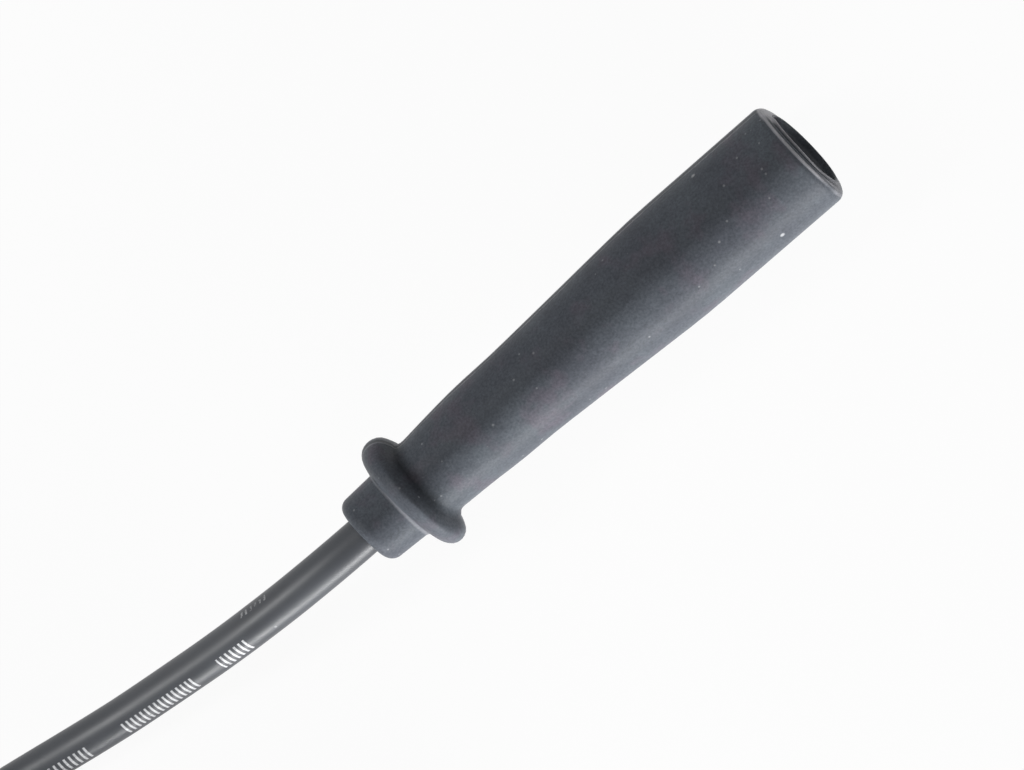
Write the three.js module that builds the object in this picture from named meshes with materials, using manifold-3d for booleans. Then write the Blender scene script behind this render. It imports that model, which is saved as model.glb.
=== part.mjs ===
// Spark plug lead: a silicone lead with a long straight boot that snaps onto the plug,
// and a short straight boot at the cap end. The lead lies on z = 0 and is coiled for storage.
// Millimetres, +Z up. X runs along the plug boot toward its mouth.
import * as THREE from "three";
import { mergeVertices } from "three/addons/utils/BufferGeometryUtils.js";
import Module from "manifold-3d";

const wasm = await Module();
wasm.setup();

// Fits between pieces
const clearance = 0.3;

// Lead and its conductor
const leadDiameter = 7;
const coreThickness = 0.6;
const coreWidth = 1.8;
const coreFoldBack = 10;
const leadInNeck = 6;

// Plug boot, in stations from the end of its neck
const plugBootLength = 99.4;
const neckLength = 8;
const neckEndDiameter = 13.2;
const neckRootDiameter = 13.7;
const neckEdgeRadius = 2;
const collarDiameter = 22.4;
const collarWidth = 5.3;
const collarFootWidth = 0.5;
const waistDiameter = 15;
const shoulderDiameter = 16.6;
const shoulderLength = 15.5;
const taperStart = 35;
const barrelStart = 68.4;
const barrelDiameter = 20.1;
const mouthRounding = 2;
const mouthRimWidth = 0.7;
const mouthDiameter = 14.2;
const mouthChamfer = 0.3;
const mouthDepth = 10;
const insulatorBoreDiameter = 12.6;
const gripRibCount = 3;
const gripRibPitch = 5;
const gripRibHeight = 0.5;
const gripRibWidth = 1.6;
const plugTerminalDepth = 47;

// Cap boot, in stations from the end of its neck
const capBootLength = 58;
const capNeckLength = 8;
const capNeckDiameter = 12.5;
const capShoulderLength = 4;
const capBodyDiameter = 16;
const capSkirtLength = 22;
const capSkirtDiameter = 18;
const capEdgeRadius = 1.2;
const capTowerDiameter = 13.4;
const capTowerDepth = 20;

// Snap terminal, stamped from sheet and rolled
const sheetThickness = 0.5;
const socketBore = 6.6;
const socketLength = 10;
const flareLength = 1.8;
const windowLength = 4.2;
const crimpLength = 11;
const crimpSeamWidth = 1;
const entrySlotWidth = 0.8;
const entrySlotLength = 3;

// Spring wire in the socket's groove
const springWire = 0.8;
const springLegSpacing = 6;
const springFromMouth = 5;

// Where the lead lies on the floor: the coil's middle, its turns and the cap boot beside it
const coilX = -160;
const coilY = -26;
const coilDiameter = 70;
const capBootExitX = -126;
const tieThickness = 1.1;
const tieWidth = 4.8;
const tieHeadLength = 7;
const tieHeadHeight = 4;
const tieTailLength = 9;

// Smoothness of the round pieces
const bootSides = 40;
const terminalSides = 32;
const leadSides = 12;
const coilSides = 48;
const bootCurveSteps = 6;
const coilCurveSteps = 4;

const rubber = new THREE.MeshStandardMaterial({ color: 0x4b4f55, roughness: 0.75, metalness: 0 });
const silicone = new THREE.MeshStandardMaterial({ color: 0x3f4247, roughness: 0.4, metalness: 0 });
const plated = new THREE.MeshStandardMaterial({ color: 0xb9a468, roughness: 0.35, metalness: 1 });
const spring = new THREE.MeshStandardMaterial({ color: 0xb8bcc0, roughness: 0.3, metalness: 1 });
const carbon = new THREE.MeshStandardMaterial({ color: 0x1d1d1f, roughness: 0.8, metalness: 0 });
const nylon = new THREE.MeshStandardMaterial({ color: 0x151516, roughness: 0.45, metalness: 0 });

// Sizes that follow from the ones above
const leadRadius = leadDiameter / 2;
const leadBore = leadDiameter + 2 * clearance;
const crimpInner = leadRadius + clearance;
const crimpOuter = crimpInner + sheetThickness;
const pocketHalfWidth = coreWidth / 2 + clearance;
const pocketInner = leadRadius + 2 * clearance + coreThickness;
const pocketOuter = pocketInner + sheetThickness;
const pocketCorner = Math.hypot(pocketHalfWidth + sheetThickness, pocketOuter);
const socketInner = socketBore / 2;
const socketOuter = socketInner + sheetThickness;
const springRadius = socketOuter + clearance + springWire / 2;
const chamberDiameter = 2 * (Math.max(pocketCorner, springRadius + springWire / 2) + clearance);
const channelLength = crimpLength + windowLength;
const terminalLength = channelLength + flareLength + socketLength;
const leadPastCrimp = 0.5;
const collarMiddle = neckLength + collarFootWidth + collarWidth / 2;
const collarEnd = neckLength + 2 * collarFootWidth + collarWidth;

// A closed geometry as a solid that can be cut and joined.
function solid(geometry) {
  const bare = geometry.index ? geometry.toNonIndexed() : geometry.clone();
  bare.deleteAttribute("normal");
  bare.deleteAttribute("uv");
  const merged = mergeVertices(bare, 1e-4);
  return new wasm.Manifold(
    new wasm.Mesh({
      numProp: 3,
      vertProperties: new Float32Array(merged.attributes.position.array),
      triVerts: new Uint32Array(merged.index.array),
    }),
  );
}

function geometryOf(made) {
  const mesh = made.getMesh();
  const geometry = new THREE.BufferGeometry();
  geometry.setAttribute("position", new THREE.BufferAttribute(mesh.vertProperties, 3));
  geometry.setIndex(new THREE.BufferAttribute(mesh.triVerts, 1));
  geometry.computeVertexNormals();
  return geometry;
}

function piece(name, geometry, material) {
  const mesh = new THREE.Mesh(geometry, material);
  mesh.name = name;
  return mesh;
}

// A round piece about X: the profile's x is the station and its y the radius.
function turned(profile, sides, curveSteps) {
  const points = profile.getPoints(curveSteps).map((p) => new THREE.Vector2(p.y, p.x));
  points.push(points[0].clone());
  return new THREE.LatheGeometry(points, sides).rotateZ(-Math.PI / 2);
}

function rod(radius, from, to, sides) {
  const cylinder = new THREE.CylinderGeometry(radius, radius, to - from, sides);
  return cylinder.rotateZ(-Math.PI / 2).translate((from + to) / 2, 0, 0);
}

function block(fromX, toX, fromY, toY, fromZ, toZ) {
  const box = new THREE.BoxGeometry(toX - fromX, toY - fromY, toZ - fromZ);
  return box.translate((fromX + toX) / 2, (fromY + toY) / 2, (fromZ + toZ) / 2);
}

// The grip ribs stand in from the bore, and the profile meets them on its way back from the mouth.
function addGripRibs(profile, boreRadius, fromStation) {
  for (let rib = 0; rib < gripRibCount; rib += 1) {
    const middle = fromStation - (rib + 0.5) * gripRibPitch;
    profile.lineTo(middle + gripRibWidth / 2, boreRadius);
    profile.lineTo(middle, boreRadius - gripRibHeight);
    profile.lineTo(middle - gripRibWidth / 2, boreRadius);
  }
}

// One moulding: neck, collar, waist, tapered shank and barrel, bored through from end to end.
function plugBootGeometry() {
  const length = plugBootLength;
  const collarRadius = collarDiameter / 2;
  const collarRise = collarRadius - collarWidth / 2;
  const rimOuter = mouthDiameter / 2 + mouthChamfer + mouthRimWidth;
  const chamberEnd = length - plugTerminalDepth;
  const chamberStart = chamberEnd - terminalLength - clearance;
  const profile = new THREE.Path();
  profile.moveTo(0, leadBore / 2);
  profile.lineTo(0, neckEndDiameter / 2 - neckEdgeRadius);
  profile.quadraticCurveTo(0, neckEndDiameter / 2, neckEdgeRadius, neckEndDiameter / 2);
  profile.lineTo(neckLength, neckRootDiameter / 2);
  profile.lineTo(neckLength + collarFootWidth, collarRise);
  profile.absarc(collarMiddle, collarRise, collarWidth / 2, Math.PI, 0, true);
  profile.lineTo(collarEnd, waistDiameter / 2);
  profile.lineTo(collarEnd + shoulderLength, shoulderDiameter / 2);
  profile.lineTo(taperStart, shoulderDiameter / 2);
  profile.lineTo(barrelStart, barrelDiameter / 2);
  profile.lineTo(length - mouthRounding, barrelDiameter / 2);
  profile.quadraticCurveTo(length, barrelDiameter / 2, length, rimOuter);
  profile.lineTo(length, mouthDiameter / 2 + mouthChamfer);
  profile.lineTo(length - mouthChamfer, mouthDiameter / 2);
  profile.lineTo(length - mouthDepth, mouthDiameter / 2);
  profile.lineTo(length - mouthDepth, insulatorBoreDiameter / 2);
  addGripRibs(profile, insulatorBoreDiameter / 2, length - mouthDepth);
  profile.lineTo(chamberEnd, insulatorBoreDiameter / 2);
  profile.lineTo(chamberEnd, chamberDiameter / 2);
  profile.lineTo(chamberStart, chamberDiameter / 2);
  profile.lineTo(chamberStart, leadBore / 2);
  return turned(profile, bootSides, bootCurveSteps);
}

// One moulding: a straight boot whose skirt goes over the tower of a cap or coil.
function capBootGeometry() {
  const length = capBootLength;
  const chamberEnd = length - capTowerDepth;
  const chamberStart = chamberEnd - terminalLength - clearance;
  const skirtStart = length - capSkirtLength;
  const bodyStart = capNeckLength + capShoulderLength;
  const profile = new THREE.Path();
  profile.moveTo(0, leadBore / 2);
  profile.lineTo(0, capNeckDiameter / 2 - capEdgeRadius);
  profile.quadraticCurveTo(0, capNeckDiameter / 2, capEdgeRadius, capNeckDiameter / 2);
  profile.lineTo(capNeckLength, capNeckDiameter / 2);
  profile.lineTo(bodyStart, capBodyDiameter / 2);
  profile.lineTo(skirtStart, capBodyDiameter / 2);
  profile.lineTo(skirtStart + capEdgeRadius, capSkirtDiameter / 2);
  profile.lineTo(length - capEdgeRadius, capSkirtDiameter / 2);
  profile.quadraticCurveTo(length, capSkirtDiameter / 2, length, capSkirtDiameter / 2 - capEdgeRadius);
  profile.lineTo(length, capTowerDiameter / 2);
  profile.lineTo(chamberEnd, capTowerDiameter / 2);
  profile.lineTo(chamberEnd, chamberDiameter / 2);
  profile.lineTo(chamberStart, chamberDiameter / 2);
  profile.lineTo(chamberStart, leadBore / 2);
  return turned(profile, bootSides, bootCurveSteps);
}

// The socket's rolled sheet, flaring into the channel behind it.
function socketSolid() {
  const socketStart = channelLength + flareLength;
  const profile = new THREE.Path();
  profile.moveTo(channelLength - sheetThickness, crimpInner);
  profile.lineTo(channelLength - sheetThickness, crimpOuter);
  profile.lineTo(channelLength, crimpOuter);
  profile.lineTo(socketStart, socketOuter);
  profile.lineTo(terminalLength, socketOuter);
  profile.lineTo(terminalLength, socketInner);
  profile.lineTo(socketStart, socketInner);
  profile.lineTo(channelLength, crimpInner);
  return solid(turned(profile, terminalSides, 1));
}

// The crimp barrel with a pocket along its floor for the folded conductor, and the open channel.
function crimpSolid() {
  const outer = solid(rod(crimpOuter, 0, channelLength, terminalSides));
  const pocketWall = pocketHalfWidth + sheetThickness;
  const pocket = solid(block(0, channelLength, -pocketWall, pocketWall, -pocketOuter, -socketInner));
  const past = clearance;
  const bore = solid(rod(crimpInner, -past, channelLength + past, terminalSides));
  const room = solid(block(-past, channelLength + past, -pocketHalfWidth, pocketHalfWidth, -pocketInner, 0));
  const seam = solid(block(-past, channelLength, -crimpSeamWidth / 2, crimpSeamWidth / 2, 0, crimpOuter + past));
  return outer.add(pocket).subtract(bore).subtract(room).subtract(seam);
}

// Snap terminal about X: crimp barrel at the origin, open channel, then the slotted socket.
function terminalGeometry() {
  const wide = crimpOuter + clearance;
  const springStation = terminalLength - springFromMouth;
  const legInner = springLegSpacing / 2 - springWire / 2 - clearance;
  const slotHalf = springWire / 2 + clearance;
  let made = crimpSolid().add(socketSolid());
  const channelOpening = block(crimpLength, channelLength + flareLength, -wide, wide, 0, wide);
  made = made.subtract(solid(channelOpening));
  for (const side of [-1, 1]) {
    const near = Math.min(side * legInner, side * wide);
    const far = Math.max(side * legInner, side * wide);
    const slot = block(springStation - slotHalf, springStation + slotHalf, near, far, -socketOuter, socketOuter);
    made = made.subtract(solid(slot));
  }
  const mouthSlot = block(
    terminalLength - entrySlotLength,
    terminalLength + clearance,
    -entrySlotWidth / 2,
    entrySlotWidth / 2,
    -wide,
    wide,
  );
  return geometryOf(made.subtract(solid(mouthSlot)));
}

// Spring wire: two straight legs through the socket's side slots, joined by a bow over its top.
function springGeometry() {
  const leg = springLegSpacing / 2;
  const bowStart = Math.acos(leg / springRadius);
  const bowHeight = springRadius * Math.sin(bowStart);
  const steps = 12;
  const points = [new THREE.Vector3(0, leg, -bowHeight)];
  for (let step = 0; step <= steps; step += 1) {
    const angle = bowStart + ((Math.PI - 2 * bowStart) * step) / steps;
    points.push(new THREE.Vector3(0, springRadius * Math.cos(angle), springRadius * Math.sin(angle)));
  }
  points.push(new THREE.Vector3(0, -leg, -bowHeight));
  const path = new THREE.CurvePath();
  for (let i = 1; i < points.length; i += 1) {
    path.add(new THREE.LineCurve3(points[i - 1], points[i]));
  }
  const section = new THREE.Shape().absarc(0, 0, springWire / 2, 0, 2 * Math.PI);
  const made = new THREE.ExtrudeGeometry(section, {
    extrudePath: path,
    steps: 3 * steps,
    curveSegments: 4,
    bevelEnabled: false,
  });
  return made.translate(terminalLength - springFromMouth, 0, 0);
}

// The conductor's bared end: out of the lead, folded down and laid back under the jacket.
function coreGeometry() {
  const start = crimpLength + leadPastCrimp + clearance;
  const bend = start + coreThickness;
  const depth = leadRadius + clearance + coreThickness / 2;
  const half = coreThickness / 2;
  const back = bend - coreFoldBack;
  const outline = new THREE.Shape();
  outline.moveTo(start, half);
  outline.lineTo(bend, half);
  outline.absarc(bend, -depth / 2, depth / 2 + half, Math.PI / 2, -Math.PI / 2, true);
  outline.lineTo(back, -depth - half);
  outline.lineTo(back, -depth + half);
  outline.lineTo(bend, -depth + half);
  outline.absarc(bend, -depth / 2, depth / 2 - half, -Math.PI / 2, Math.PI / 2, false);
  outline.lineTo(start, -half);
  outline.closePath();
  const made = new THREE.ExtrudeGeometry(outline, {
    depth: coreWidth,
    curveSegments: 8,
    bevelEnabled: false,
  });
  return made.translate(0, 0, -coreWidth / 2).rotateX(Math.PI / 2);
}

// What one end of the lead holds: its terminal, spring, bared conductor and the stretch of lead.
function addEnd(group, prefix, bootLength, terminalDepth) {
  const terminalStart = bootLength - terminalDepth - terminalLength;
  const fittings = new THREE.Group();
  fittings.position.x = terminalStart;
  fittings.add(piece(prefix + "_terminal", terminalGeometry(), plated));
  fittings.add(piece(prefix + "_terminal_spring", springGeometry(), spring));
  fittings.add(piece(prefix + "_core_end", coreGeometry(), carbon));
  group.add(fittings);
  const leadEnd = terminalStart + crimpLength + leadPastCrimp;
  const stretch = rod(leadRadius, leadInNeck + clearance, leadEnd, leadSides);
  group.add(piece(prefix + "_lead_end", stretch, silicone));
}

// The plug boot rests on its collar and on the edge of its mouth, so its axis dips to the mouth.
const collarRadius = collarDiameter / 2;
const restSpan = plugBootLength - mouthRounding - collarMiddle;
const dip = Math.atan2(collarRadius - barrelDiameter / 2, restSpan);
const plugEnd = new THREE.Group();
plugEnd.position.set(-plugBootLength / 2, 0, collarRadius + collarMiddle * Math.tan(dip));
plugEnd.rotation.y = dip;
plugEnd.add(piece("plug_boot", plugBootGeometry(), rubber));
addEnd(plugEnd, "plug", plugBootLength, plugTerminalDepth);

// The cap boot lies on its skirt beside the coil, level and pointing along X.
const capAxisY = coilY - coilDiameter / 2;
const capAxisZ = capSkirtDiameter / 2;
const capEnd = new THREE.Group();
capEnd.position.set(capBootExitX, capAxisY, capAxisZ);
capEnd.add(piece("cap_boot", capBootGeometry(), rubber));
addEnd(capEnd, "cap", capBootLength, capTowerDepth);

// Route of the free lead from inside the plug boot's neck to the side of the coil.
const neckEndX = -plugBootLength / 2;
const neckEndZ = plugEnd.position.z;
const runRoute = [
  [neckEndX + leadInNeck * Math.cos(dip), -0.05, neckEndZ - leadInNeck * Math.sin(dip)],
  [neckEndX, -0.2, neckEndZ],
  [-53.75, -0.34, 11.37],
  [-57.75, -0.3, 11.29],
  [-62.25, -0.2, 11.04],
  [-67.25, -0.05, 10.58],
  [-72.75, 0.2, 9.9],
  [-79.25, 0.58, 8.9],
  [-86.25, 1.1, 7.68],
  [-93.25, 1.78, 6.42],
  [-100.25, 2.5, 5.28],
  [-107.2, 3.3, 4.34],
  [-114.1, 4.28, 3.74],
  [-120, 5.2, 3.55],
  [-126.8, 6.3, 3.52],
  [-134.2, 7.42, 3.52],
];
const tailRoute = [
  [-136.2, capAxisY, 9.46],
  [-131, capAxisY, 9.22],
  [capBootExitX, capAxisY, capAxisZ],
  [capBootExitX + leadInNeck, capAxisY, capAxisZ],
];

function leadTube(route) {
  const curve = new THREE.CatmullRomCurve3(route.map((p) => new THREE.Vector3(...p)));
  const section = new THREE.Shape().absarc(0, 0, leadRadius, 0, 2 * Math.PI);
  const steps = Math.round(curve.getLength() / (2 * leadDiameter));
  return new THREE.ExtrudeGeometry(section, {
    extrudePath: curve,
    steps: Math.max(steps, 3) * 2,
    curveSegments: leadSides,
    bevelEnabled: false,
  });
}

// The coil's two turns as one ring, hollowed below where the tie passes under them.
const coilHeight = 2 * leadDiameter;
const tieRise = tieThickness + clearance;
const tieLoopInner = coilDiameter / 2 - leadRadius - clearance;
const tieLoopOuter = coilDiameter / 2 + leadRadius + clearance;

function coilGeometry() {
  const middle = coilDiameter / 2;
  const profile = new THREE.Path();
  profile.absarc(leadRadius, middle, leadRadius, (3 * Math.PI) / 2, Math.PI / 2, true);
  profile.lineTo(coilHeight - leadRadius, middle + leadRadius);
  profile.absarc(coilHeight - leadRadius, middle, leadRadius, Math.PI / 2, -Math.PI / 2, true);
  const ring = turned(profile, coilSides, coilCurveSteps).rotateY(-Math.PI / 2);
  const halfChannel = tieWidth / 2 + clearance;
  const channel = block(-tieLoopOuter, -tieLoopInner, -halfChannel, halfChannel, -clearance, tieRise + clearance);
  return geometryOf(solid(ring).subtract(solid(channel))).translate(coilX, coilY, 0);
}

// Nylon tie round both turns, with its head outside the coil and a short trimmed tail.
function tieGeometry() {
  const top = coilHeight + tieRise;
  const wall = tieThickness;
  const outline = new THREE.Shape();
  outline.moveTo(-tieLoopOuter - wall, clearance);
  outline.lineTo(-tieLoopInner + wall, clearance);
  outline.lineTo(-tieLoopInner + wall, top + wall);
  outline.lineTo(-tieLoopOuter - wall, top + wall);
  outline.closePath();
  const inside = new THREE.Path();
  inside.moveTo(-tieLoopOuter, clearance + wall);
  inside.lineTo(-tieLoopOuter, top);
  inside.lineTo(-tieLoopInner, top);
  inside.lineTo(-tieLoopInner, clearance + wall);
  inside.closePath();
  outline.holes.push(inside);
  const loop = new THREE.ExtrudeGeometry(outline, { depth: tieWidth, bevelEnabled: false });
  loop.translate(0, 0, -tieWidth / 2).rotateX(Math.PI / 2);
  const headX = -tieLoopOuter - wall / 2;
  const headWidth = tieWidth / 2 + wall;
  const headBottom = coilHeight / 2 - tieHeadLength / 2;
  const head = block(headX - tieHeadHeight, headX, -headWidth, headWidth, headBottom, headBottom + tieHeadLength);
  const tailX = headX - tieHeadHeight / 2;
  const tailTop = headBottom + tieHeadLength + tieTailLength;
  const tail = block(tailX - wall, tailX, -tieWidth / 2, tieWidth / 2, coilHeight / 2, tailTop);
  return geometryOf(solid(loop).add(solid(head)).add(solid(tail))).translate(coilX, coilY, 0);
}

const group = new THREE.Group();
group.add(plugEnd);
group.add(piece("lead_run", leadTube(runRoute), silicone));
group.add(piece("lead_coil", coilGeometry(), silicone));
group.add(piece("coil_tie", tieGeometry(), nylon));
group.add(piece("lead_tail", leadTube(tailRoute), silicone));
group.add(capEnd);

export default group;
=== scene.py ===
import math

import bmesh
import bpy
from mathutils import Matrix, Vector


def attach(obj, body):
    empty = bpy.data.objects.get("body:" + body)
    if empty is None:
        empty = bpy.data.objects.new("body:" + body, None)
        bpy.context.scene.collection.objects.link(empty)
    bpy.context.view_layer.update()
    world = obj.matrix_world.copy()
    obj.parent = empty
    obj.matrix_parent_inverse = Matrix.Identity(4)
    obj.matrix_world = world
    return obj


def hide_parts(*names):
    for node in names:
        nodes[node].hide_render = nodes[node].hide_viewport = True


# Spark plug lead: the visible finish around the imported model. Metres, X along the plug boot toward its mouth.
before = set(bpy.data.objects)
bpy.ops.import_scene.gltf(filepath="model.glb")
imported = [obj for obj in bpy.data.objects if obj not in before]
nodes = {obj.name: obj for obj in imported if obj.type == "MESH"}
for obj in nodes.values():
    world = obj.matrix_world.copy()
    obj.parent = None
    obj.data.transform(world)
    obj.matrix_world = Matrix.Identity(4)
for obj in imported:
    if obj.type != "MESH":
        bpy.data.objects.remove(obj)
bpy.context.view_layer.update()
print("frame loaded")

mm = 0.001


# Camera: above the boot and a little beyond its mouth
cameraView = {
    "target": (-0.01384, 0.00225, 0.0105),
    "distance": 0.640,
    "elevation": 75.23,
    "roll": 228.94,
    "lens": 135.5,
    "sensor": 36.0,
}


def makeCamera(view):
    lean = math.radians(view["elevation"])
    back = Vector((math.cos(lean), 0, math.sin(lean)))
    level = (-back).cross(Vector((0, 0, 1))).normalized()
    rise = level.cross(-back)
    roll = math.radians(view["roll"])
    right = level * math.cos(roll) + rise * math.sin(roll)
    up = rise * math.cos(roll) - level * math.sin(roll)
    data = bpy.data.cameras.new("camera")
    data.lens = view["lens"]
    data.sensor_width = view["sensor"]
    camera = bpy.data.objects.new("camera", data)
    bpy.context.collection.objects.link(camera)
    turn = Matrix((right, up, back)).transposed().to_4x4()
    camera.matrix_world = Matrix.Translation(Vector(view["target"]) + back * view["distance"]) @ turn
    bpy.context.scene.camera = camera


makeCamera(cameraView)


# Mesh helpers
def finishMesh(name, bm, material, smooth=True):
    mesh = bpy.data.meshes.new(name)
    bm.to_mesh(mesh)
    bm.free()
    for face in mesh.polygons:
        face.use_smooth = smooth
    piece = bpy.data.objects.new(name, mesh)
    bpy.context.collection.objects.link(piece)
    piece.data.materials.append(material)
    return piece


def smoothStep(value, start, end):
    share = min(max((value - start) / (end - start), 0.0), 1.0)
    return share * share * (3 - 2 * share)


def bump(value, middle, width):
    return math.exp(-(((value - middle) / width) ** 2))


# Material helpers
noiseSpan = (0.3, 0.7)  # nearly all values of a noise lie in here


class Nodes:
    def __init__(self, name):
        self.material = bpy.data.materials.new(name)
        self.material.use_nodes = True
        self.tree = self.material.node_tree
        self.shader = self.tree.nodes["Principled BSDF"]
        self.output = self.tree.nodes["Material Output"]

    def add(self, kind, **values):
        node = self.tree.nodes.new(kind)
        for key, value in values.items():
            setattr(node, key, value)
        return node

    def link(self, source, target):
        self.tree.links.new(source, target)

    def feed(self, socket, value):
        if isinstance(value, bpy.types.NodeSocket):
            self.link(value, socket)
        else:
            socket.default_value = value

    def set(self, name, value):
        self.feed(self.shader.inputs[name], value)

    def math(self, operation, first, second=0.0, third=0.0):
        node = self.add("ShaderNodeMath", operation=operation)
        for socket, value in zip(node.inputs, (first, second, third)):
            self.feed(socket, value)
        return node.outputs[0]

    def noise(self, place, scale, detail, rough):
        node = self.add("ShaderNodeTexNoise")
        self.link(place, node.inputs["Vector"])
        node.inputs["Scale"].default_value = scale
        node.inputs["Detail"].default_value = detail
        node.inputs["Roughness"].default_value = rough
        return node.outputs["Fac"]

    def blend(self, value, span, dark, light):
        node = self.add("ShaderNodeValToRGB")
        self.feed(node.inputs[0], value)
        for element, place, colour in zip(node.color_ramp.elements, span, (dark, light)):
            element.position = place
            element.color = (*colour, 1.0)
        return node.outputs[0]

    def mix(self, factor, first, second):
        node = self.add("ShaderNodeMix", data_type="RGBA")
        self.feed(node.inputs[0], factor)
        for socket, value in ((node.inputs[6], first), (node.inputs[7], second)):
            self.feed(socket, (*value, 1.0) if isinstance(value, tuple) else value)
        return node.outputs[2]

    def shade(self, colour, level):
        node = self.add("ShaderNodeVectorMath", operation="SCALE")
        self.link(colour, node.inputs[0])
        self.feed(node.inputs["Scale"], level)
        return node.outputs[0]

    def bump(self, height, strength, distance, under=None):
        node = self.add("ShaderNodeBump")
        self.link(height, node.inputs["Height"])
        node.inputs["Strength"].default_value = strength
        node.inputs["Distance"].default_value = distance
        if under is not None:
            self.link(under, node.inputs["Normal"])
        return node.outputs[0]

    def range(self, value, low, high, toLow, toHigh):
        node = self.add("ShaderNodeMapRange")
        self.feed(node.inputs[0], value)
        for socket, number in zip(node.inputs[1:5], (low, high, toLow, toHigh)):
            socket.default_value = number
        return node.outputs[0]

    def vary(self, noise, low, high):
        return self.range(noise, *noiseSpan, low, high)

    def ridge(self, past, otherPast, offset, width):
        away = [self.math("ABSOLUTE", self.math("SUBTRACT", value, offset)) for value in (past, otherPast)]
        return self.range(self.math("MINIMUM", *away), 0.0, width, 1.0, 0.0)

    def place(self):
        return self.add("ShaderNodeTexCoord").outputs["Object"]

    def axes(self, vector):
        node = self.add("ShaderNodeSeparateXYZ")
        self.link(vector, node.inputs[0])
        return node.outputs

    def specks(self, place, scale, share, size):
        cells = self.add("ShaderNodeTexVoronoi")
        self.link(place, cells.inputs["Vector"])
        cells.inputs["Scale"].default_value = scale
        split = self.add("ShaderNodeSeparateColor")
        self.link(cells.outputs["Color"], split.inputs[0])
        chosen = self.math("GREATER_THAN", split.outputs[0], 1 - share)
        near = self.range(cells.outputs["Distance"], size / 2, size, 1.0, 0.0)
        return self.math("MULTIPLY", near, chosen)


# Moulded rubber: matte charcoal mottled by its flow, with a fine grain, a parting line and specks of dust; a
# mesh attribute adds painted highlights and painted shade
bootRubber = {
    "dark": (0.091, 0.099, 0.117),
    "light": (0.112, 0.126, 0.144),
    "warm": (0.119, 0.110, 0.134),
    "worn": (0.72, 0.71, 0.75),
    "dust": (0.46, 0.47, 0.49),
    "roughness": (0.40, 0.48),
    "specular": 0.09,
    "flow": (70.0, 4.0, 0.6),  # each noise: scale, detail, roughness
    "flowSpan": (0.36, 0.64),
    "tint": (161.0, 3.0, 0.55),
    "tintSpan": (0.52, 0.66),
    "tintAmount": 0.75,
    "mottle": (630.0, 4.0, 0.65),
    "mottleShade": (0.92, 1.08),
    "grain": (2300.0, 2.0, 0.6),
    "grainShade": (0.80, 1.20),
    "grainBump": (0.5, 0.00006),  # each bump: strength, height
    "waves": (210.0, 2.0, 0.5),
    "waveBump": (0.35, 0.0004),
    "partingAngle": 70.0,  # degrees from straight up
    "partingWidth": 0.035,
    "partingPatches": (0.40, 0.56),
    "partingWear": 0.22,
    "partingBump": (0.5, 0.00010),
    "grooveOffset": 0.085,
    "grooveWidth": 0.08,
    "grooveEdge": 0.6,
    "grooveShade": 0.55,
    "paintedShadeLevel": 0.25,  # painted shade at the mesh attribute's lowest value, -1
    "wearAndHighlightPatches": (0.25, 0.6, 0.8, 1.0),
    "specks": (420.0, 0.017, 0.22),  # scale, share of the cells, radius
    "fineSpecks": (924.0, 0.055, 0.25),
    "fineAmount": 0.40,
}


def makeBootRubber(name, settings, axisHeight, axisDip, axisSide):
    n = Nodes(name)
    place = n.place()
    flow = n.noise(place, *settings["flow"])
    tint = n.noise(place, *settings["tint"])
    mottle = n.noise(place, *settings["mottle"])
    grain = n.noise(place, *settings["grain"])
    colour = n.blend(flow, settings["flowSpan"], settings["dark"], settings["light"])
    warmth = n.range(tint, *settings["tintSpan"], 0.0, settings["tintAmount"])
    colour = n.mix(warmth, colour, settings["warm"])
    colour = n.shade(colour, n.vary(mottle, *settings["mottleShade"]))
    colour = n.shade(colour, n.vary(grain, *settings["grainShade"]))

    # parting line along both sides, with a shallow groove beside it; the groove's colour is darkened as painted
    # shade
    x, y, z = n.axes(place)
    axisZ = n.math("MULTIPLY_ADD", x, -math.tan(math.radians(axisDip)), axisHeight)
    angle = n.math("ARCTAN2", n.math("SUBTRACT", y, axisSide), n.math("SUBTRACT", z, axisZ))
    parting = math.radians(settings["partingAngle"])
    past = n.math("SUBTRACT", angle, parting)
    otherPast = n.math("SUBTRACT", angle, parting - math.pi)
    seam = n.ridge(past, otherPast, 0.0, settings["partingWidth"])
    groove = n.ridge(past, otherPast, settings["grooveOffset"], settings["grooveWidth"])
    # painted shade in the groove beside the parting line
    colour = n.shade(colour, n.range(groove, 0.0, settings["grooveEdge"], 1.0, settings["grooveShade"]))
    worn = n.range(tint, *settings["partingPatches"], 0.0, settings["partingWear"])
    colour = n.mix(n.math("MULTIPLY", seam, worn), colour, settings["worn"])

    # the mesh attribute: above 0 a pale mix of wear and painted highlight, below 0 painted shade in creases,
    # hollows and the bore
    wearAndPaintedLight = n.add("ShaderNodeAttribute", attribute_name="wearAndPaintedLight").outputs["Fac"]
    colour = n.shade(colour, n.range(wearAndPaintedLight, -1.0, 0.0, settings["paintedShadeLevel"], 1.0))
    # pale wear and painted highlight, in patches
    patches = n.range(mottle, *settings["wearAndHighlightPatches"])
    paleWearAndHighlight = n.math("MULTIPLY", n.math("MAXIMUM", wearAndPaintedLight, 0.0), patches)
    colour = n.mix(paleWearAndHighlight, colour, settings["worn"])

    fine = n.math("MULTIPLY", n.specks(place, *settings["fineSpecks"]), settings["fineAmount"])
    dust = n.math("MAXIMUM", n.specks(place, *settings["specks"]), fine)
    n.set("Base Color", n.mix(dust, colour, settings["dust"]))
    n.set("Roughness", n.vary(mottle, *settings["roughness"]))
    n.set("Specular IOR Level", settings["specular"])
    normal = n.bump(n.noise(place, *settings["waves"]), *settings["waveBump"])
    normal = n.bump(n.math("SUBTRACT", seam, groove), *settings["partingBump"], normal)
    n.set("Normal", n.bump(grain, *settings["grainBump"], normal))
    return n.material


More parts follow.
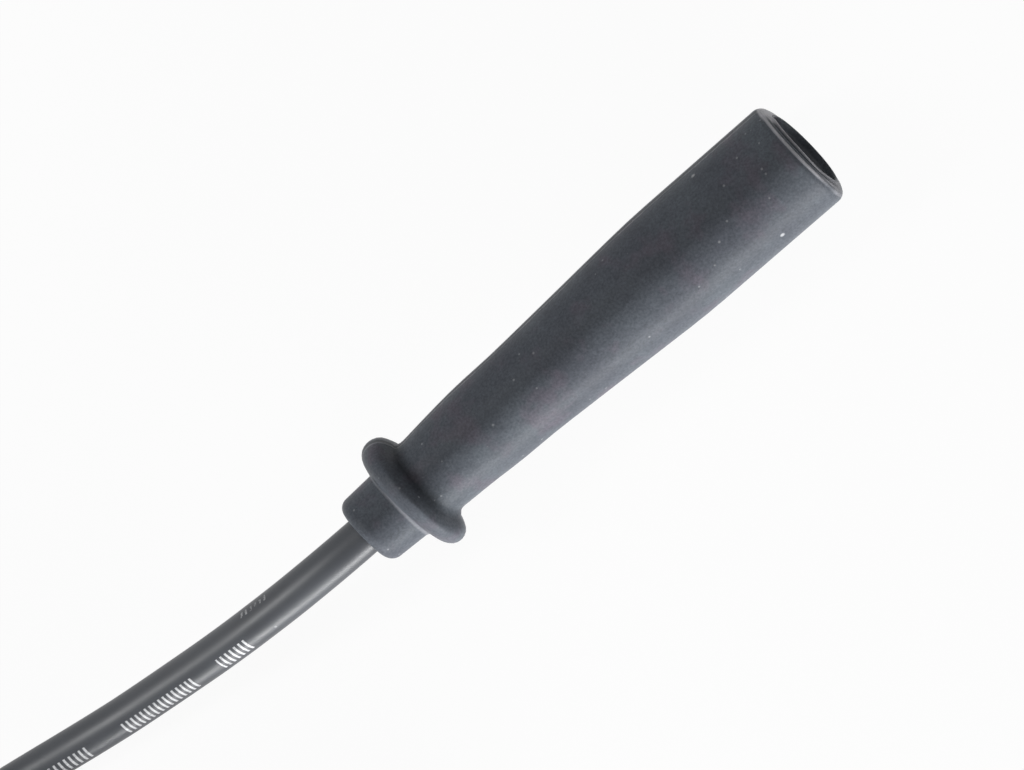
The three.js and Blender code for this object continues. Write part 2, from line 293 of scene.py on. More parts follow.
# Extruded silicone: satin charcoal, with plain white marks in groups along one side of the free lead
leadSilicone = {
    "dark": (0.024, 0.028, 0.036),
    "light": (0.034, 0.039, 0.048),
    "roughness": (0.40, 0.46),
    "specular": 0.66,
    "sheen": 0.04,
    "sheenRoughness": 0.4,
    "flow": (90.0, 3.0, 0.5),
    "flowSpan": (0.35, 0.65),
    "grain": (1500.0, 2.0, 0.5),
    "grainBump": (0.25, 0.00004),
    "waves": (150.0, 2.0, 0.5),
    "waveBump": (0.15, 0.0003),
    "dust": (0.42, 0.43, 0.45),
    "specks": (420.0, 0.02, 0.16),
    "speckAmount": 0.6,
    "markColour": (0.70, 0.71, 0.73),
    "markAngle": 2 * math.pi - 0.61,  # radians round the lead, from its level side
    "markHalfHeight": 0.40,
    "markPitch": 2.25 * mm,
    "markBars": ((0.03, 0.24), (0.53, 0.74)),  # shares of the pitch
    "markPatches": (1700.0, 3.0, 0.7),
    "markWear": (0.30, 0.46, 0.35, 1.0),
    "firstMark": 33.6 * mm,
    "groupPeriod": 56 * mm,
    "groups": ((0.0, 7.2), (13.4, 31.0), (39.4, 50.4)),  # mm past the first mark
    "faintAngle": 0.90,
    "faintHalfHeight": 0.16,
    "faintSpan": (25.2 * mm, 32.0 * mm),
    "faintPatches": (900.0, 3.0, 0.7),
    "faintWear": (0.46, 0.60, 0.0, 0.55),
}


def makeLeadSilicone(name, settings, marked):
    n = Nodes(name)
    place = n.place()
    flow = n.noise(place, *settings["flow"])
    colour = n.blend(flow, settings["flowSpan"], settings["dark"], settings["light"])
    if marked:
        uv = n.add("ShaderNodeUVMap", uv_map="along")
        along, around, _ = n.axes(uv.outputs[0])
        mark = addMarks(n, settings, place, along, around)
        colour = n.mix(mark, colour, settings["markColour"])
    dust = n.math("MULTIPLY", n.specks(place, *settings["specks"]), settings["speckAmount"])
    n.set("Base Color", n.mix(dust, colour, settings["dust"]))
    n.set("Roughness", n.vary(flow, *settings["roughness"]))
    n.set("Specular IOR Level", settings["specular"])
    n.set("Sheen Weight", settings["sheen"])
    n.set("Sheen Roughness", settings["sheenRoughness"])
    normal = n.bump(n.noise(place, *settings["waves"]), *settings["waveBump"])
    n.set("Normal", n.bump(n.noise(place, *settings["grain"]), *settings["grainBump"], normal))
    return n.material


def inside(n, value, low, high):
    return n.math("MULTIPLY", n.math("GREATER_THAN", value, low), n.math("LESS_THAN", value, high))


def row(n, around, angle, halfHeight):
    offset = n.math("ABSOLUTE", n.math("SUBTRACT", around, angle))
    return n.math("LESS_THAN", offset, halfHeight)


# Bars in rows, in groups that repeat along the lead, and one faint group nearer the boot
def addMarks(n, settings, place, along, around):
    past = n.math("SUBTRACT", along, settings["firstMark"])
    cell = n.math("FRACT", n.math("DIVIDE", past, settings["markPitch"]))
    bars = n.math("ADD", *[inside(n, cell, low, high) for low, high in settings["markBars"]])
    period = n.math("FRACT", n.math("DIVIDE", past, settings["groupPeriod"]))
    spot = n.math("MULTIPLY", period, settings["groupPeriod"])
    groups = 0.0
    for low, high in settings["groups"]:
        groups = n.math("ADD", inside(n, spot, low * mm, high * mm), groups)
    marked = row(n, around, settings["markAngle"], settings["markHalfHeight"])
    worn = n.range(n.noise(place, *settings["markPatches"]), *settings["markWear"])
    mark = n.math("MULTIPLY", n.math("MULTIPLY", bars, groups), n.math("MULTIPLY", marked, worn))
    mark = n.math("MULTIPLY", mark, n.math("GREATER_THAN", past, 0.0))
    marked = row(n, around, settings["faintAngle"], settings["faintHalfHeight"])
    span = inside(n, along, *settings["faintSpan"])
    patchy = n.range(n.noise(place, *settings["faintPatches"]), *settings["faintWear"])
    faint = n.math("MULTIPLY", n.math("MULTIPLY", marked, span), n.math("MULTIPLY", bars, patchy))
    return n.math("MAXIMUM", mark, faint)


siliconeMaterial = makeLeadSilicone("lead_silicone", leadSilicone, True)
plainSilicone = makeLeadSilicone("lead_silicone_plain", leadSilicone, False)


# The lead: one cord from inside the plug boot's neck, along the floor, round the coil and into the cap boot
leadRoute = {
    "diameter": 7 * mm,
    "run": [  # mm, out of the neck and down to the floor
        (-43.5, -0.34, 12.3),
        (-49.3, -0.46, 13.42),
        (-53.5, -0.46, 14.0),
        (-57.6, -0.41, 14.22),
        (-62.25, -0.31, 14.0),
        (-67.25, -0.16, 13.3),
        (-72.75, 0.1, 12.2),
        (-79.25, 0.47, 10.6),
        (-86.25, 1.0, 8.85),
        (-93.25, 1.67, 7.1),
        (-100.25, 2.39, 5.62),
        (-107.2, 3.19, 4.5),
        (-114.1, 4.18, 3.8),
        (-120.0, 5.12, 3.56),
        (-126.8, 6.25, 3.52),
        (-134.2, 7.42, 3.52),
        (-142, 8.38, 3.52),
        (-150.5, 8.92, 3.52),
    ],
    "coilMiddle": (-160, -26),
    "coilRadius": 35,
    "coilFrom": 90,  # degrees, one turn and a half
    "coilTo": 630,
    "coilStep": 15,
    "floor": 3.51,  # height of the axis where the lead lies on the floor
    "climbFrom": 365,  # onto the first turn
    "climbTo": 425,
    "tieAngle": 180,
    "tieSpread": 16,
    "tieRise": 1.4,  # over the strap's foot
    "tail": [  # mm, down into the cap boot
        (-147, -61, 10.15),
        (-136.2, -61, 9.46),
        (-131, -61, 9.22),
        (-126, -61, 9.0),
        (-120, -61, 9.0),
    ],
    "stepsPerSpan": 5,
    "sides": 40,
}


def coilPoint(settings, angle):
    x, y = settings["coilMiddle"]
    turn = math.radians(angle)
    climbed = smoothStep(angle, settings["climbFrom"], settings["climbTo"])
    lift = bump(angle, settings["tieAngle"], settings["tieSpread"])
    lift += bump(angle, settings["tieAngle"] + 360, settings["tieSpread"])
    z = settings["floor"] + settings["tieRise"] * lift + climbed * settings["diameter"] / mm
    return (x + settings["coilRadius"] * math.cos(turn), y + settings["coilRadius"] * math.sin(turn), z)


def leadPoints(settings):
    angles = range(settings["coilFrom"], settings["coilTo"] + 1, settings["coilStep"])
    coil = [coilPoint(settings, angle) for angle in angles]
    return [Vector(p) * mm for p in settings["run"] + coil + settings["tail"]]


def smoothPath(points, steps):
    ends = [points[0] * 2 - points[1]] + points + [points[-1] * 2 - points[-2]]
    path = []
    for i in range(1, len(ends) - 2):
        before, start, end, after = ends[i - 1 : i + 3]
        for step in range(steps):
            t = step / steps
            pull = start * 2 + (end - before) * t
            pull += (before * 2 - start * 5 + end * 4 - after) * t**2
            pull += (start * 3 - before - end * 3 + after) * t**3
            path.append(pull / 2)
    path.append(points[-1])
    return path


def makeLead(settings, path):
    bm = bmesh.new()
    around = bm.loops.layers.uv.new("along")
    sides = settings["sides"]
    rings, lengths = [], [0.0]
    for i, point in enumerate(path):
        tangent = (path[min(i + 1, len(path) - 1)] - path[max(i - 1, 0)]).normalized()
        side = Vector((0, 0, 1)).cross(tangent).normalized()
        up = tangent.cross(side)
        turn = Matrix((side, up, tangent)).transposed().to_4x4()
        made = bmesh.ops.create_circle(
            bm, cap_ends=False, segments=sides, radius=settings["diameter"] / 2,
            matrix=Matrix.Translation(point) @ turn,
        )
        rings.append(made["verts"])
        if i:
            lengths.append(lengths[-1] + (point - path[i - 1]).length)
    for i in range(len(rings) - 1):
        for j in range(sides):
            k = (j + 1) % sides
            face = bm.faces.new((rings[i][j], rings[i][k], rings[i + 1][k], rings[i + 1][j]))
            corners = ((i, j), (i, j + 1), (i + 1, j + 1), (i + 1, j))
            for loop, (ring, corner) in zip(face.loops, corners):
                loop[around].uv = (lengths[ring], corner * 2 * math.pi / sides)
    for ring in (rings[0], rings[-1]):
        bm.faces.new(ring)
    bmesh.ops.recalc_face_normals(bm, faces=bm.faces)
    piece = finishMesh("lead", bm, siliconeMaterial)
    return piece, lengths[-1]


leadPath = smoothPath(leadPoints(leadRoute), leadRoute["stepsPerSpan"])
lead, leadLength = makeLead(leadRoute, leadPath)
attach(lead, "root")
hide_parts("lead_run", "lead_coil", "lead_tail")
print("lead made,", round(leadLength, 4), "m long")


# Turned pieces: a closed outline of (station, radius, painted light and wear) in mm, spun round the boot's
# axis; the third column is above 0 for pale wear with painted highlight, below 0 for painted shade
def arc(station, radius, size, fromAngle, toAngle, steps):
    points = []
    for step in range(steps + 1):
        angle = math.radians(fromAngle + (toAngle - fromAngle) * step / steps)
        points.append((station + size * math.cos(angle), radius + size * math.sin(angle), 0.0))
    return points


def spinOutline(outline, sides):
    bm = bmesh.new()
    wearAndPaintedLight = bm.verts.layers.float.new("wearAndPaintedLight")
    verts = [bm.verts.new((station * mm, 0, radius * mm)) for station, radius, _ in outline]
    for vert, (_, _, amount) in zip(verts, outline):
        vert[wearAndPaintedLight] = amount
    edges = [bm.edges.new((verts[i], verts[(i + 1) % len(verts)])) for i in range(len(verts))]
    bmesh.ops.spin(
        bm, geom=verts + edges, cent=(0, 0, 0), axis=(1, 0, 0), angle=2 * math.pi,
        steps=sides, use_merge=True,
    )
    bmesh.ops.recalc_face_normals(bm, faces=bm.faces)
    return bm


def placeBoot(bm, settings):
    turn = Matrix.Rotation(math.radians(settings["dip"]), 4, "Y")
    move = Matrix.Translation(Vector(settings["neckEnd"]) * mm)
    bmesh.ops.transform(bm, matrix=move @ turn, verts=bm.verts)


# Plug boot: neck, rolled collar, waist, tapered shank, barrel and a coned lip round the mouth
plugBoot = {
    # Third column: below 0 painted shade in the crease behind the collar, in the lip's hollows and down the
    # bore; above 0 a pale mix of wear and painted highlight, mostly on the lip's beads and just inside the
    # mouth
    "neck": [*arc(2.1, 4.5, 2.1, 180, 90, 8), (7.5, 6.84, 0.0), (7.8, 6.92, 0.16)],
    "collar": [
        (8.04, 7.2, 0.2), (8.18, 7.75, 0.04), (8.34, 8.4, 0.0), (8.54, 9.1, 0.0), (8.84, 9.8, 0.0),
        (9.26, 10.4, 0.0), (9.8, 10.9, 0.0), (10.45, 11.2, 0.0), (11.0, 11.3, 0.0), (11.5, 11.3, 0.0),
        (12.1, 11.18, 0.0), (12.78, 10.86, 0.0), (13.3, 10.38, 0.0), (13.68, 9.7, -0.2),
        (13.96, 9.0, -0.4), (14.16, 8.4, -0.6),
    ],
    "foot": [
        (14.36, 7.98, -0.75), (14.7, 7.66, -0.6), (15.1, 7.53, -0.35), (15.7, 7.49, -0.12),
        (16.5, 7.53, 0.0),
    ],
    "shank": [
        (17.5, 7.60, 0.0), (20.5, 7.77, 0.0), (24.0, 7.98, 0.0), (27.0, 8.17, 0.0), (30.0, 8.29, 0.0),
        (33.0, 8.33, 0.0), (36.0, 8.38, 0.0), (39.8, 8.54, 0.0), (46.7, 8.89, 0.0), (53.5, 9.25, 0.0),
        (60.2, 9.61, 0.0), (65.0, 9.86, 0.0), (68.8, 10.01, 0.0), (72.5, 10.06, 0.0), (84.0, 10.06, 0.0),
    ],
    "lip": [
        (92.5, 10.06, 0.0), *arc(97.35, 8.46, 1.6, 90, 60, 4), (98.25, 9.78, 0.45), (98.37, 9.69, 0.84),
        (98.5, 9.57, 0.84), (98.61, 9.44, 0.35), (98.66, 9.3, 0.68), (98.74, 9.18, 0.85), (98.8, 9.04, 0.76),
        (98.84, 8.88, -0.4), (98.9, 8.6, -0.6), (99.08, 7.9, -0.6), (99.14, 7.72, -0.2), (99.18, 7.6, 0.78),
        (99.22, 7.5, 0.82), (99.26, 7.38, 0.74), (99.26, 7.24, -0.1), (99.2, 7.12, -0.4), (99.0, 7.06, -0.4),
        (98.6, 7.04, -0.2), (98.0, 7.08, 0.15), (96.0, 7.08, 0.2),
    ],
    "bore": [
        (89.6, 7.08, 0.0), (89.4, 6.9, -0.3), (89.4, 6.45, -0.3), (89.2, 6.3, -0.8), (53.5, 6.3, -0.8),
        (52.4, 6.3, -0.5), (52.4, 5.77, -0.5), (25.1, 5.77, 0.0), (25.1, 4.9, 0.0), (5.2, 4.9, 0.0),
        (4.4, 3.8, 0.0), (0.5, 3.8, 0.0), (0.0, 4.1, 0.0),
    ],
    "sides": 160,
    "dip": 0.7639,  # degrees, down toward the mouth
    "neckEnd": (-49.7, 0, 11.3487),
    "raise": 11.0,  # degrees, neck and collar
    "raiseAt": 11.1,
    "raiseFrom": 12.5,
    "raiseTo": 20.0,
    "raiseFromOnTop": 9.6,
    "raiseToOnTop": 14.2,
    "raiseTopHeight": 0.625,  # share of the radius
    "offset": 0.46,  # the neck stands to one side
    "offsetFrom": 7.0,
    "offsetTo": 26.0,
    "collarSkin": 7.0,  # radius past which a point is on the outside of the collar
    "swell": 0.08,  # the collar is thicker on one side
    "swellOver": 3.2,
    "creaseFrom": 13.2,
    "creaseTo": 16.2,
    "creaseFade": 0.85,
    "creaseFadeFrom": 0.35,
    "creaseFadeTo": 0.80,
    "lean": 0.056,
    "leanFrom": 13.5,
    "leanTo": 19.0,
    "skew": 0.055,  # the mouth is cut a little askew
    "skewFrom": 86.0,
    "skewTo": 97.0,
    "skewRest": 7.6,
    "hood": 0.045,
    "lipFrom": 97.6,
    "lipInside": 7.15,
    "topFrom": 0.3,  # shares of the radius, here and at the side
    "topTo": 0.5,
    "beadHeight": 0.2,
    "beadRise": (1, 0, 0.5),
    "beadRadius": 8.0,
    "outerRadius": 9.4,
    "groovePull": 0.25,
    "grooveLow": 7.65,
    # share of the lip's painted shade kept below the axis
    "paintedShadeBelow": 0.5,
    "nearFrom": 1.5,
    "nearTo": 6.5,
    "nearFade": 0.3,
    "lineFrom": 4.0,
    "lineTo": 8.5,
    "dent": 0.3,
    "dentAt": -4.2,
    "dentOver": 2.4,
    "sideFrom": 0.74,
    "sideTo": 0.90,
    "cornerFrom": 97.9,
    "cornerTo": 98.3,
    "cornerRadius": 7.5,
    "cornerLow": -4.0,
    # pale wear and painted highlight on the lip's ends, more on the less lit +Y side
    "cornerWearAndHighlight": 0.57,
    "cornerSlope": 0.3705,
}


# The lead lifts the neck and collar, which also lean to one side; the painted shade in the crease behind the
# collar fades on the -Y side, where the key lamp falls
def leanNeck(bm, settings):
    wearAndPaintedLight = bm.verts.layers.float["wearAndPaintedLight"]
    turned = math.radians(settings["raise"])
    for vert in bm.verts:
        station, y, z = (value / mm for value in vert.co)
        size = math.hypot(y, z)
        onCollar = size > settings["collarSkin"]
        # fade the crease's painted shade on the lit -Y side
        if onCollar and settings["creaseFrom"] < station < settings["creaseTo"] and vert[wearAndPaintedLight] < 0:
            faded = smoothStep(-y / size, settings["creaseFadeFrom"], settings["creaseFadeTo"])
            vert[wearAndPaintedLight] *= 1 - settings["creaseFade"] * faded
        if onCollar and abs(station - settings["raiseAt"]) < settings["swellOver"]:
            station += (station - settings["raiseAt"]) * settings["swell"] * y / size
        above = smoothStep(z / size, 0.0, settings["raiseTopHeight"])
        start = settings["raiseFrom"] + (settings["raiseFromOnTop"] - settings["raiseFrom"]) * above
        end = settings["raiseTo"] + (settings["raiseToOnTop"] - settings["raiseTo"]) * above
        turn = turned * (1 - smoothStep(station, start, end))
        moved = 1 - smoothStep(station, settings["offsetFrom"], settings["offsetTo"])
        leant = 1 - smoothStep(station, settings["leanFrom"], settings["leanTo"])
        past = station - settings["raiseAt"]
        x = settings["raiseAt"] + past * math.cos(turn) + z * math.sin(turn) - settings["lean"] * leant * y
        y -= settings["offset"] * moved
        z = z * math.cos(turn) - past * math.sin(turn)
        vert.co = Vector((x, y, z)) * mm


# The lip's upper side stands forward; its two beads are painted pale on top, as wear and painted highlight that
# is weaker on the lit -Y side, and so are its two ends, more on the +Y side that gets less light; the lip's
# hollows keep painted shade, halved below the axis
def shapeMouth(bm, settings):
    wearAndPaintedLight = bm.verts.layers.float["wearAndPaintedLight"]
    for vert in bm.verts:
        station, y, z = (value / mm for value in vert.co)
        share = smoothStep(station, settings["skewFrom"], settings["skewTo"])
        pull = max(y + settings["skewRest"], 0.0) * settings["skew"] - max(z, 0.0) * settings["hood"]
        vert.co.x -= pull * share * mm
        size = math.hypot(y, z)
        if station < settings["lipFrom"] or size < settings["lipInside"]:
            continue
        top = smoothStep(z / size, settings["topFrom"], settings["topTo"])
        near = smoothStep(-y, settings["nearFrom"], settings["nearTo"])
        crossed = smoothStep(-y, settings["lineFrom"], settings["lineTo"])
        if vert[wearAndPaintedLight] > 0:
            vert.co += Vector(settings["beadRise"]) * settings["beadHeight"] * vert[wearAndPaintedLight] * top * mm
            if size < settings["beadRadius"]:
                vert.co.x -= settings["dent"] * bump(y, settings["dentAt"], settings["dentOver"]) * top * mm
            else:
                top *= 1 - crossed if size > settings["outerRadius"] else crossed
            # the beads' pale wear and painted highlight, only on top and weaker toward the lit -Y side
            vert[wearAndPaintedLight] *= top * (1 - settings["nearFade"] * near)
        else:
            if settings["grooveLow"] < size < settings["outerRadius"]:
                vert.co.x -= settings["groovePull"] * top * mm
            # painted shade in the lip's hollows: halved below the axis, faded toward the lit -Y side
            vert[wearAndPaintedLight] *= settings["paintedShadeBelow"] if z < 0 else 1 - near
        # the lip's ends painted pale as wear and painted highlight, more on the +Y side that gets less light
        if size > settings["cornerRadius"] and z > settings["cornerLow"]:
            side = smoothStep(abs(y) / size, settings["sideFrom"], settings["sideTo"])
            ahead = smoothStep(station, settings["cornerFrom"], settings["cornerTo"])
            corner = settings["cornerWearAndHighlight"] + settings["cornerSlope"] * y / size
            vert[wearAndPaintedLight] += (corner - vert[wearAndPaintedLight]) * side * ahead


outline = [point for part in ("neck", "collar", "foot", "shank", "lip", "bore") for point in plugBoot[part]]
bm = spinOutline(outline, plugBoot["sides"])
shapeMouth(bm, plugBoot)
leanNeck(bm, plugBoot)
placeBoot(bm, plugBoot)
axisHeight = (plugBoot["neckEnd"][2] + plugBoot["neckEnd"][0] * math.tan(math.radians(plugBoot["dip"]))) * mm
rubberMaterial = makeBootRubber("boot_rubber", bootRubber, axisHeight, plugBoot["dip"], 0.0)
plugBootSkin = finishMesh("plug_boot_skin", bm, rubberMaterial)
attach(plugBootSkin, "root")
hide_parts("plug_boot")
print("plug boot made")


# Cap boot: the same way, level on the floor beside the coil
capBoot = {
    "outline": [
        (0.0, 4.1, 0.0), *arc(1.2, 5.05, 1.2, 180, 90, 6), (7.6, 6.25, 0.0), (8.4, 6.4, 0.0),
        (11.4, 7.75, 0.0), (12.4, 8.0, 0.0), (35.6, 8.0, 0.0), (36.1, 8.12, 0.0), (36.9, 8.85, 0.1),
        (37.5, 9.0, 0.0), *arc(56.9, 7.9, 1.1, 90, 20, 6), (58.0, 8.1, 0.3), (58.0, 7.1, 0.2),
        (57.8, 6.8, 0.0), (57.4, 6.7, 0.0), (38.0, 6.7, 0.0), (38.0, 5.77, 0.0), (10.7, 5.77, 0.0),
        (10.7, 3.8, 0.0), (0.4, 3.8, 0.0),
    ],
    "sides": 96,
    "dip": 0.0,
    "neckEnd": (-126.0, -61.0, 9.0),
}

bm = spinOutline(capBoot["outline"], capBoot["sides"])
placeBoot(bm, capBoot)
_, axisSide, axisHeight = (value * mm for value in capBoot["neckEnd"])
capRubber = makeBootRubber("cap_boot_rubber", bootRubber, axisHeight, capBoot["dip"], axisSide)
capBootSkin = finishMesh("cap_boot_skin", bm, capRubber)
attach(capBootSkin, "root")
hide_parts("cap_boot")
print("cap boot made")


# Nylon tie round both turns of the coil: a flat strap, a moulded head and a toothed tail
nylonTie = {
    "middle": (-195.0, -26.0),
    "halfSpan": 3.85,
    "thickness": 1.05,
    "bottom": 0.32,
    "top": 16.46,
    "width": 4.8,
    "topFlat": 0.3,  # half the flat between the two round upper corners
    "footCorner": 1.9,
    "leastCorners": (0.2, 0.5),  # inside, above and at the foot
    "cornerSteps": 7,
    "headSize": (4.0, 6.9, 7.0),
    "headAt": (-6.33, 0, 7.0),
    "headEdge": 0.6,
    "tailAt": -6.9,
    "tailHalf": 0.5,
    "tailFrom": 7.0,
    "tailTo": 19.4,
    "tailPlain": 2.2,
    "tailChamfer": 0.3,
    "toothPitch": 0.9,
    "toothDepth": 0.22,
    "toothShares": (0.55, 0.75, 0.95),
    "dark": (0.018, 0.018, 0.020),
    "light": (0.032, 0.032, 0.035),
    "roughness": (0.34, 0.46),
    "specular": 0.5,
    "flow": (260.0, 3.0, 0.6),
    "flowSpan": (0.35, 0.65),
    "grain": (1800.0, 2.0, 0.5),
    "grainBump": (0.25, 0.00003),
}


def makeNylon(settings):
    n = Nodes("tie_nylon")
    place = n.place()
    flow = n.noise(place, *settings["flow"])
    n.set("Base Color", n.blend(flow, settings["flowSpan"], settings["dark"], settings["light"]))
    n.set("Roughness", n.vary(flow, *settings["roughness"]))
    n.set("Specular IOR Level", settings["specular"])
    n.set("Normal", n.bump(n.noise(place, *settings["grain"]), *settings["grainBump"]))
    return n.material


def strapLoop(settings, inset):
    half = settings["halfSpan"] + settings["thickness"] - inset
    low, high = settings["bottom"] + inset, settings["top"] - inset
    leastHigh, leastLow = settings["leastCorners"]
    cornerHigh = max(half - settings["topFlat"], leastHigh)
    cornerLow = max(settings["footCorner"] - inset, leastLow)
    points = []
    for side, start in ((1, 0), (-1, 90), (-1, 180), (1, 270)):
        size = cornerHigh if start < 180 else cornerLow
        z = high - size if start < 180 else low + size
        for step in range(settings["cornerSteps"] + 1):
            angle = math.radians(start + 90 * step / settings["cornerSteps"])
            points.append((side * (half - size) + size * math.cos(angle), z + size * math.sin(angle)))
    return points


def addStrap(bm, settings):
    outer, inner = strapLoop(settings, 0.0), strapLoop(settings, settings["thickness"])
    half = settings["width"] / 2
    rows = []
    for (x0, z0), (x1, z1) in zip(outer, inner):
        corners = ((x0, -half, z0), (x0, half, z0), (x1, half, z1), (x1, -half, z1))
        rows.append([bm.verts.new(Vector(corner) * mm) for corner in corners])
    for i in range(len(rows)):
        start, end = rows[i], rows[(i + 1) % len(rows)]
        for j in range(4):
            k = (j + 1) % 4
            bm.faces.new((start[j], end[j], end[k], start[k]))


def addBlock(bm, size, at, edge):
    made = bmesh.ops.create_cube(bm, size=1.0, matrix=Matrix.Translation(Vector(at) * mm))
    verts = made["verts"]
    centre = Vector(at) * mm
    for vert in verts:
        offset = vert.co - centre
        vert.co = centre + Vector((offset.x * size[0], offset.y * size[1], offset.z * size[2])) * mm
    edges = list({e for v in verts for e in v.link_edges})
    bmesh.ops.bevel(
        bm, geom=edges, offset=edge * mm, offset_type="OFFSET", segments=3, profile=0.5,
        affect="EDGES", material=-1,
    )


def addTail(bm, settings):
    pitch, depth, half = settings["toothPitch"], settings["toothDepth"], settings["width"] / 2
    front, back = settings["tailAt"] - settings["tailHalf"], settings["tailAt"] + settings["tailHalf"]
    z, top, chamfer = settings["tailFrom"], settings["tailTo"], settings["tailChamfer"]
    profile = [(back, z)]
    while z + pitch < top - settings["tailPlain"]:
        for share, cut in zip(settings["toothShares"], (0.0, depth, depth)):
            profile.append((back - cut, z + pitch * share))
        z += pitch
        profile.append((back, z))
    profile += [(back, top - chamfer), (back - chamfer, top)]
    profile += [(front + chamfer, top), (front, top - chamfer), (front, settings["tailFrom"])]
    sides = [[bm.verts.new(Vector((x, y, z)) * mm) for x, z in profile] for y in (-half, half)]
    for side in sides:
        bm.faces.new(side)
    for i in range(len(profile)):
        j = (i + 1) % len(profile)
        bm.faces.new((sides[0][i], sides[0][j], sides[1][j], sides[1][i]))


bm = bmesh.new()
addStrap(bm, nylonTie)
addBlock(bm, nylonTie["headSize"], nylonTie["headAt"], nylonTie["headEdge"])
addTail(bm, nylonTie)
bmesh.ops.recalc_face_normals(bm, faces=bm.faces)
bmesh.ops.translate(bm, vec=Vector((*nylonTie["middle"], 0)) * mm, verts=bm.verts)
tieSkin = finishMesh("coil_tie_skin", bm, makeNylon(nylonTie), smooth=False)
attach(tieSkin, "root")
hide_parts("coil_tie")
print("tie made")


# Metal and carbon inside the boots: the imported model's own pieces, with a drawn finish
fittings = {
    "terminal_brass": {
        "dark": (0.56, 0.43, 0.20),
        "light": (0.76, 0.62, 0.34),
        "roughness": (0.26, 0.42),
        "metallic": 1.0,
        "stretch": (0.12, 1.0, 1.0),
        "lineScale": 2600.0,
        "pieces": ("plug_terminal", "cap_terminal"),
    },
    "spring_steel": {
        "dark": (0.48, 0.49, 0.50),
        "light": (0.66, 0.67, 0.68),
        "roughness": (0.20, 0.34),
        "metallic": 1.0,
        "stretch": (1.0, 1.0, 0.15),
        "lineScale": 3200.0,
        "pieces": ("plug_terminal_spring", "cap_terminal_spring"),
    },
    "core_carbon": {
        "dark": (0.014, 0.014, 0.015),
        "light": (0.034, 0.034, 0.036),
        "roughness": (0.6, 0.8),
        "metallic": 0.0,
        "stretch": (0.3, 1.0, 1.0),
        "lineScale": 4200.0,
        "pieces": ("plug_core_end", "cap_core_end"),
    },
}
drawnFinish = {
    "cloud": (320.0, 4.0, 0.6),
    "cloudSpan": (0.35, 0.65),
    "lineDetail": (3.0, 0.6),
    "lineShade": (0.88, 1.08),
    "lineBump": (0.3, 0.00003),
}


def makeFitting(name, settings, drawn):
    n = Nodes(name)
    place = n.place()
    mapping = n.add("ShaderNodeMapping")
    n.link(place, mapping.inputs["Vector"])
    mapping.inputs["Scale"].default_value = settings["stretch"]
    lines = n.noise(mapping.outputs[0], settings["lineScale"], *drawn["lineDetail"])
    cloud = n.noise(place, *drawn["cloud"])
    colour = n.blend(cloud, drawn["cloudSpan"], settings["dark"], settings["light"])
    n.set("Base Color", n.shade(colour, n.vary(lines, *drawn["lineShade"])))
    n.set("Metallic", settings["metallic"])
    n.set("Roughness", n.vary(lines, *settings["roughness"]))
    n.set("Normal", n.bump(lines, *drawn["lineBump"]))
    return n.material


def dress(names, material):
    for name in names:
        nodes[name].data.materials.clear()
        nodes[name].data.materials.append(material)


for slotName, settings in fittings.items():
    dress(settings["pieces"], makeFitting(slotName, settings, drawnFinish))
dress(("plug_lead_end", "cap_lead_end"), plainSilicone)
print("fittings dressed")

# Floor, light and background
stage = {
    "floorSize": 6.0,
    "floorColour": (0.86, 0.86, 0.86),
    "floorRoughness": 0.9,
    "shownWhite": 0.95,  # how much of the floor shows as plain white, the rest keeps the shadow
    "key": {"size": (1.20, 0.15), "energy": 12.1, "from": (-0.38, -0.62, 0.085), "to": (-0.38, 0.0, 0.04)},
    "leadStrip": {"size": (0.40, 0.15), "energy": 2.35, "from": (-0.49, 0.33, 0.50), "to": (-0.30, 0.0, 0.0)},
    "bootStrip": {"size": (0.34, 0.18), "energy": 0.47, "from": (0.25, 0.17, 0.54), "to": (0.02, 0.0, 0.0)},
    "ambient": 0.014,
}


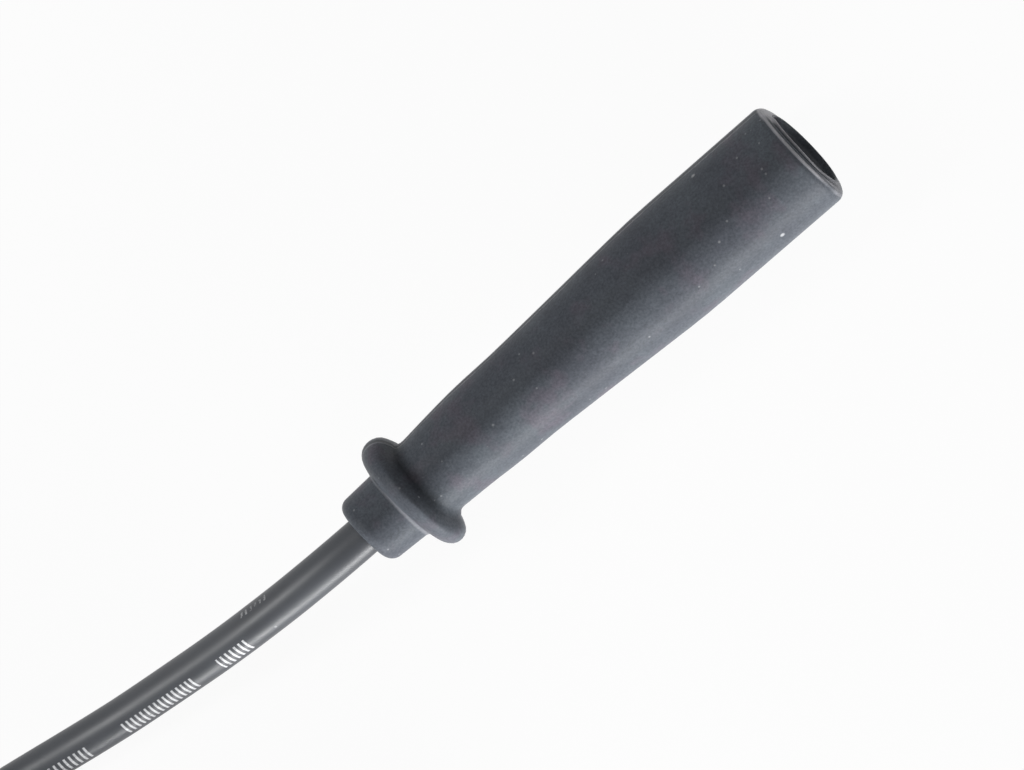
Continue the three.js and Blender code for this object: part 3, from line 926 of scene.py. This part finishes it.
def makeFloor(settings):
    bm = bmesh.new()
    bmesh.ops.create_grid(bm, x_segments=1, y_segments=1, size=settings["floorSize"])
    n = Nodes("floor_paper")
    n.set("Base Color", (*settings["floorColour"], 1.0))
    n.set("Roughness", settings["floorRoughness"])
    light = n.add("ShaderNodeEmission")
    path = n.add("ShaderNodeLightPath")
    mix = n.add("ShaderNodeMixShader")
    mirrored = n.math("MAXIMUM", path.outputs["Is Glossy Ray"], path.outputs["Is Transmission Ray"])
    seen = n.math("MAXIMUM", path.outputs["Is Camera Ray"], mirrored)
    n.link(n.math("MULTIPLY", seen, settings["shownWhite"]), mix.inputs[0])
    n.link(n.shader.outputs[0], mix.inputs[1])
    n.link(light.outputs[0], mix.inputs[2])
    n.link(mix.outputs[0], n.output.inputs["Surface"])
    floor = finishMesh("floor", bm, n.material, smooth=False)


def makeLamp(name, settings):
    data = bpy.data.lights.new(name, "AREA")
    data.shape = "RECTANGLE"
    data.size, data.size_y = settings["size"]
    data.energy = settings["energy"]
    lamp = bpy.data.objects.new(name, data)
    bpy.context.collection.objects.link(lamp)
    aim = (Vector(settings["from"]) - Vector(settings["to"])).normalized()
    across = aim.cross(Vector((1, 0, 0))).normalized()
    turn = Matrix((across.cross(aim), across, aim)).transposed().to_4x4()
    lamp.matrix_world = Matrix.Translation(settings["from"]) @ turn


def makeWorld(settings):
    world = bpy.data.worlds.new("studio")
    bpy.context.scene.world = world
    world.use_nodes = True
    tree = world.node_tree
    light = tree.nodes["Background"]
    path = tree.nodes.new("ShaderNodeLightPath")
    seen = tree.nodes.new("ShaderNodeMath")
    seen.operation = "MAXIMUM"
    tree.links.new(path.outputs["Is Camera Ray"], seen.inputs[0])
    glossy = tree.nodes.new("ShaderNodeMath")
    glossy.operation = "MAXIMUM"
    tree.links.new(path.outputs["Is Glossy Ray"], glossy.inputs[0])
    tree.links.new(path.outputs["Is Transmission Ray"], glossy.inputs[1])
    tree.links.new(glossy.outputs[0], seen.inputs[1])
    strength = tree.nodes.new("ShaderNodeMapRange")
    tree.links.new(seen.outputs[0], strength.inputs[0])
    strength.inputs[3].default_value = settings["ambient"]
    strength.inputs[4].default_value = 1.0
    tree.links.new(strength.outputs[0], light.inputs["Strength"])
    light.inputs["Color"].default_value = (1, 1, 1, 1)


makeFloor(stage)
for lampName in ("key", "leadStrip", "bootStrip"):
    makeLamp(lampName, stage[lampName])
makeWorld(stage)
bpy.context.scene.view_settings.view_transform = "Standard"
print("stage made")
